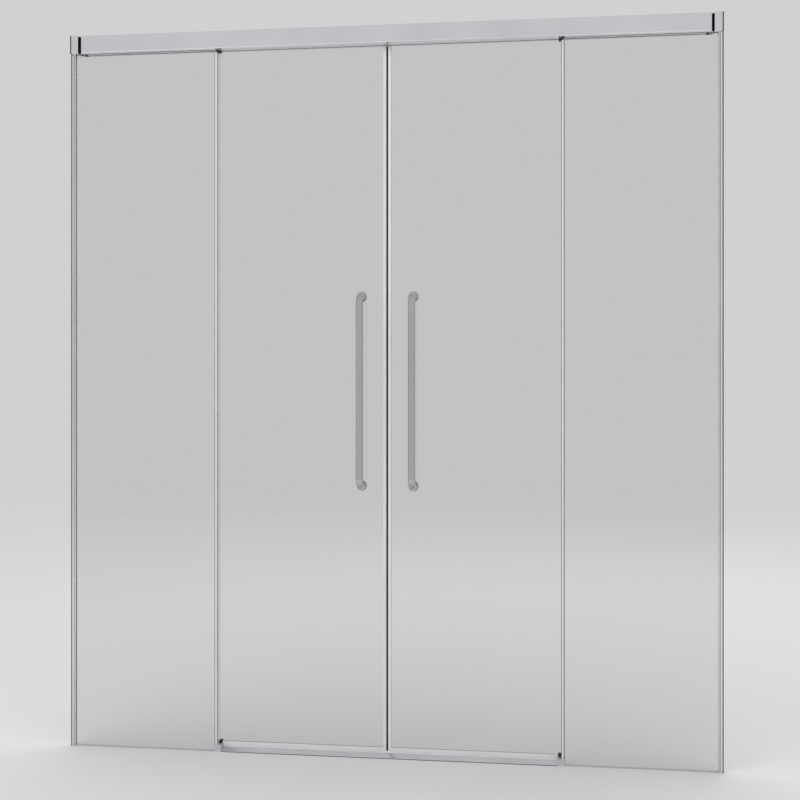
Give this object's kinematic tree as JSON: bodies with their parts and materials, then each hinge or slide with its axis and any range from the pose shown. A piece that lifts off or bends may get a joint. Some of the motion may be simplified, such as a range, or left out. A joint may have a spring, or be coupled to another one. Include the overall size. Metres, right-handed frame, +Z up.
{
  "type": "shower enclosure with sliding doors",
  "caption": "Frontal niche shower enclosure: clear glass doors slide apart behind fixed glass panels, hung on rollers in a polished head rail, with tubular handles.",
  "frame": {"origin": "middle of the width, on the shower tray, in the mid plane of the fixed glass", "axes": "+X to the right seen from outside, +Y into the shower, +Z up"},
  "size_m": [1.75, 0.057, 1.95],
  "materials": {
    "polished_rail": "polished bright metal on extruded aluminium",
    "polished_profile": "polished bright aluminium extrusion",
    "sill_metal": "polished aluminium extrusion",
    "wall_plate_metal": "satin cast aluminium",
    "clear_glass": "clear toughened safety glass, polished edges",
    "clear_gasket": "soft translucent gasket",
    "clear_seal": "clear soft seal extrusion",
    "magnet_black": "black magnetic strip",
    "black_rubber": "black rubber",
    "guide_grey": "light grey moulded plastic",
    "guide_black": "black low-friction plastic",
    "stop_rubber": "black rubber",
    "stainless": "stainless steel",
    "pad_rubber": "thin rubber",
    "handle_chrome": "polished stainless tube",
    "wheel_nylon": "white nylon roller"
  },
  "bodies": {
    "fixed_frame": {"top_rail": "polished_rail", "rail_end_trim_left": "polished_rail", "rail_end_trim_right": "polished_rail", "rail_end_gaskets": "black_rubber", "bracket_wall_plate_left": "wall_plate_metal", "bracket_wall_plate_right": "wall_plate_metal", "bracket_cover_left": "polished_rail", "bracket_cover_right": "polished_rail", "wall_profile_left": "polished_profile", "wall_profile_right": "polished_profile", "profile_gasket_left": "clear_gasket", "profile_gasket_right": "clear_gasket", "fixed_glass_left": "clear_glass", "fixed_glass_right": "clear_glass", "head_gasket_left": "clear_gasket", "head_gasket_right": "clear_gasket", "foot_seals": "clear_seal", "fixed_edge_seal_left": "clear_seal", "fixed_edge_seal_right": "clear_seal", "sill_profile": "sill_metal", "bottom_guide_left": "guide_grey", "bottom_guide_right": "guide_grey", "guide_insert_left": "guide_black", "guide_insert_right": "guide_black", "head_seal_blocks": "guide_black", "rail_end_stops": "stop_rubber", "rail_centre_stop": "stop_rubber"},
    "left_door": {"door_glass_left": "clear_glass", "magnetic_seal_left": "clear_seal", "magnet_strip_left": "magnet_black", "outer_edge_seal_left": "clear_seal", "bottom_seal_left": "clear_seal", "hanger_plates_left": "stainless", "hanger_pads_left": "pad_rubber", "hanger_bolts_left": "stainless", "wheel_axles_left": "stainless", "handle_left": "handle_chrome", "handle_rosettes_left": "handle_chrome", "handle_washers_left": "clear_seal", "handle_caps_left": "handle_chrome", "handle_studs_left": "stainless"},
    "right_door": {"door_glass_right": "clear_glass", "magnetic_seal_right": "clear_seal", "magnet_strip_right": "magnet_black", "outer_edge_seal_right": "clear_seal", "bottom_seal_right": "clear_seal", "hanger_plates_right": "stainless", "hanger_pads_right": "pad_rubber", "hanger_bolts_right": "stainless", "wheel_axles_right": "stainless", "handle_right": "handle_chrome", "handle_rosettes_right": "handle_chrome", "handle_washers_right": "clear_seal", "handle_caps_right": "handle_chrome", "handle_studs_right": "stainless"},
    "left_inner_wheel": {"inner_wheel_left": "wheel_nylon"},
    "left_outer_wheel": {"outer_wheel_left": "wheel_nylon"},
    "right_inner_wheel": {"inner_wheel_right": "wheel_nylon"},
    "right_outer_wheel": {"outer_wheel_right": "wheel_nylon"}
  },
  "joints": [
    {"name": "left_door_slide", "type": "slide", "parent": "fixed_frame", "child": "left_door", "axis": [-1, 0, 0], "range_m": [0, 0.37]},
    {"name": "right_door_slide", "type": "slide", "parent": "fixed_frame", "child": "right_door", "axis": [1, 0, 0], "range_m": [0, 0.37]},
    {"name": "left_inner_wheel_spin", "type": "hinge", "parent": "left_door", "child": "left_inner_wheel", "pos_m": [-0.0636, 0.0107, 1.9308], "axis": [0, -1, 0], "range_deg": [0, 1927.7]},
    {"name": "left_outer_wheel_spin", "type": "hinge", "parent": "left_door", "child": "left_outer_wheel", "pos_m": [-0.41, 0.0107, 1.9308], "axis": [0, -1, 0], "range_deg": [0, 1927.7]},
    {"name": "right_inner_wheel_spin", "type": "hinge", "parent": "right_door", "child": "right_inner_wheel", "pos_m": [0.0636, 0.0107, 1.9308], "axis": [0, 1, 0], "range_deg": [0, 1927.7]},
    {"name": "right_outer_wheel_spin", "type": "hinge", "parent": "right_door", "child": "right_outer_wheel", "pos_m": [0.41, 0.0107, 1.9308], "axis": [0, 1, 0], "range_deg": [0, 1927.7]}
  ],
  "couplings": [
    {"joint": "left_inner_wheel_spin", "follows": "left_door_slide", "rad_per_m": 90.909},
    {"joint": "left_outer_wheel_spin", "follows": "left_door_slide", "rad_per_m": 90.909},
    {"joint": "right_inner_wheel_spin", "follows": "right_door_slide", "rad_per_m": 90.909},
    {"joint": "right_outer_wheel_spin", "follows": "right_door_slide", "rad_per_m": 90.909}
  ]
}
